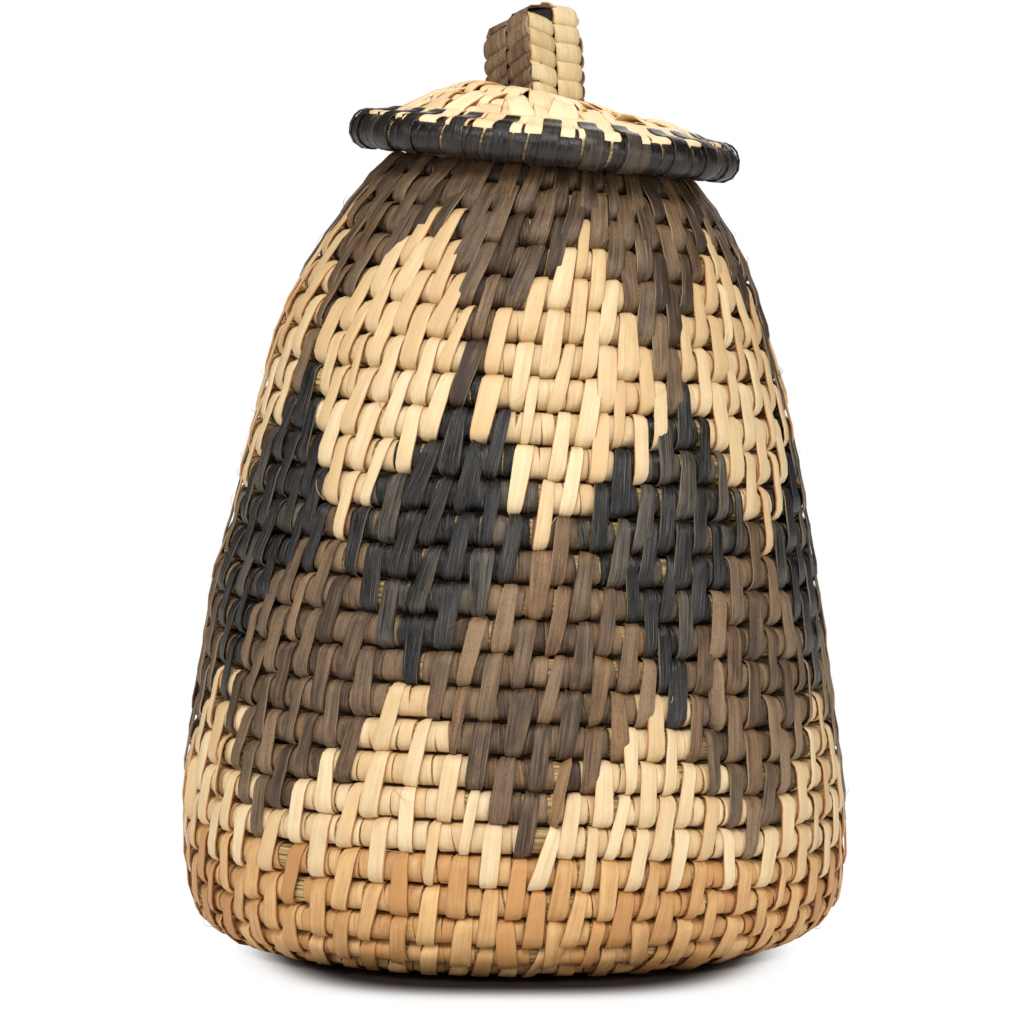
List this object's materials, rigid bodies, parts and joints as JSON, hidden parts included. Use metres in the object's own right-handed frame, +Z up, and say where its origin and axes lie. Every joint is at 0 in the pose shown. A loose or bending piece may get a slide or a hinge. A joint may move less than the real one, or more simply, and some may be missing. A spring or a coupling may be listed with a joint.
{
  "type": "lidded herb basket",
  "caption": "Coiled grass basket with stepped diamond palm wrapping, a domed lift-off lid with a seating collar and a plaited knob.",
  "frame": {"origin": "middle of the flat foot, on the surface the basket stands on", "axes": "+Z up through the mouth, -Y towards the front of the picture, +X to its right"},
  "size_m": [0.1568, 0.1567, 0.2186],
  "materials": {
    "grass": "dry grass stalks, matte",
    "cream_palm": "split palm leaf, satin",
    "tan_palm": "split palm leaf, satin",
    "brown_palm": "dyed palm leaf, matte",
    "black_palm": "dyed palm leaf, slight gloss",
    "rim_palm": "dyed palm leaf, satin"
  },
  "bodies": {
    "basket": {"floor_coil": "tan_palm", "wall_core": "grass", "tan_foot_wrap": "tan_palm", "cream_foot_wrap": "cream_palm", "brown_neck_wrap": "brown_palm", "brown_diamond_1": "brown_palm", "brown_diamond_2": "brown_palm", "brown_diamond_3": "brown_palm", "brown_diamond_4": "brown_palm", "brown_diamond_5": "brown_palm", "brown_diamond_6": "brown_palm", "brown_diamond_7": "brown_palm", "brown_diamond_8": "brown_palm", "black_diamond_1": "black_palm", "black_diamond_2": "black_palm", "black_diamond_3": "black_palm", "black_diamond_4": "black_palm", "black_diamond_5": "black_palm", "black_diamond_6": "black_palm", "black_diamond_7": "black_palm", "black_diamond_8": "black_palm", "cream_diamond_1": "cream_palm", "cream_diamond_2": "cream_palm", "cream_diamond_3": "cream_palm", "cream_diamond_4": "cream_palm", "cream_diamond_5": "cream_palm", "cream_diamond_6": "cream_palm", "cream_diamond_7": "cream_palm", "cream_diamond_8": "cream_palm"},
    "lid": {"lid_coil": "cream_palm", "lid_rim": "rim_palm", "lid_collar": "grass", "brown_strand_1": "brown_palm", "brown_strand_2": "brown_palm", "cream_strand_1": "cream_palm", "cream_strand_2": "cream_palm"}
  },
  "joints": [
    {"name": "lid_lift", "type": "slide", "parent": "basket", "child": "lid", "axis": [0, 0, 1], "range_m": [0, 0.06]}
  ]
}
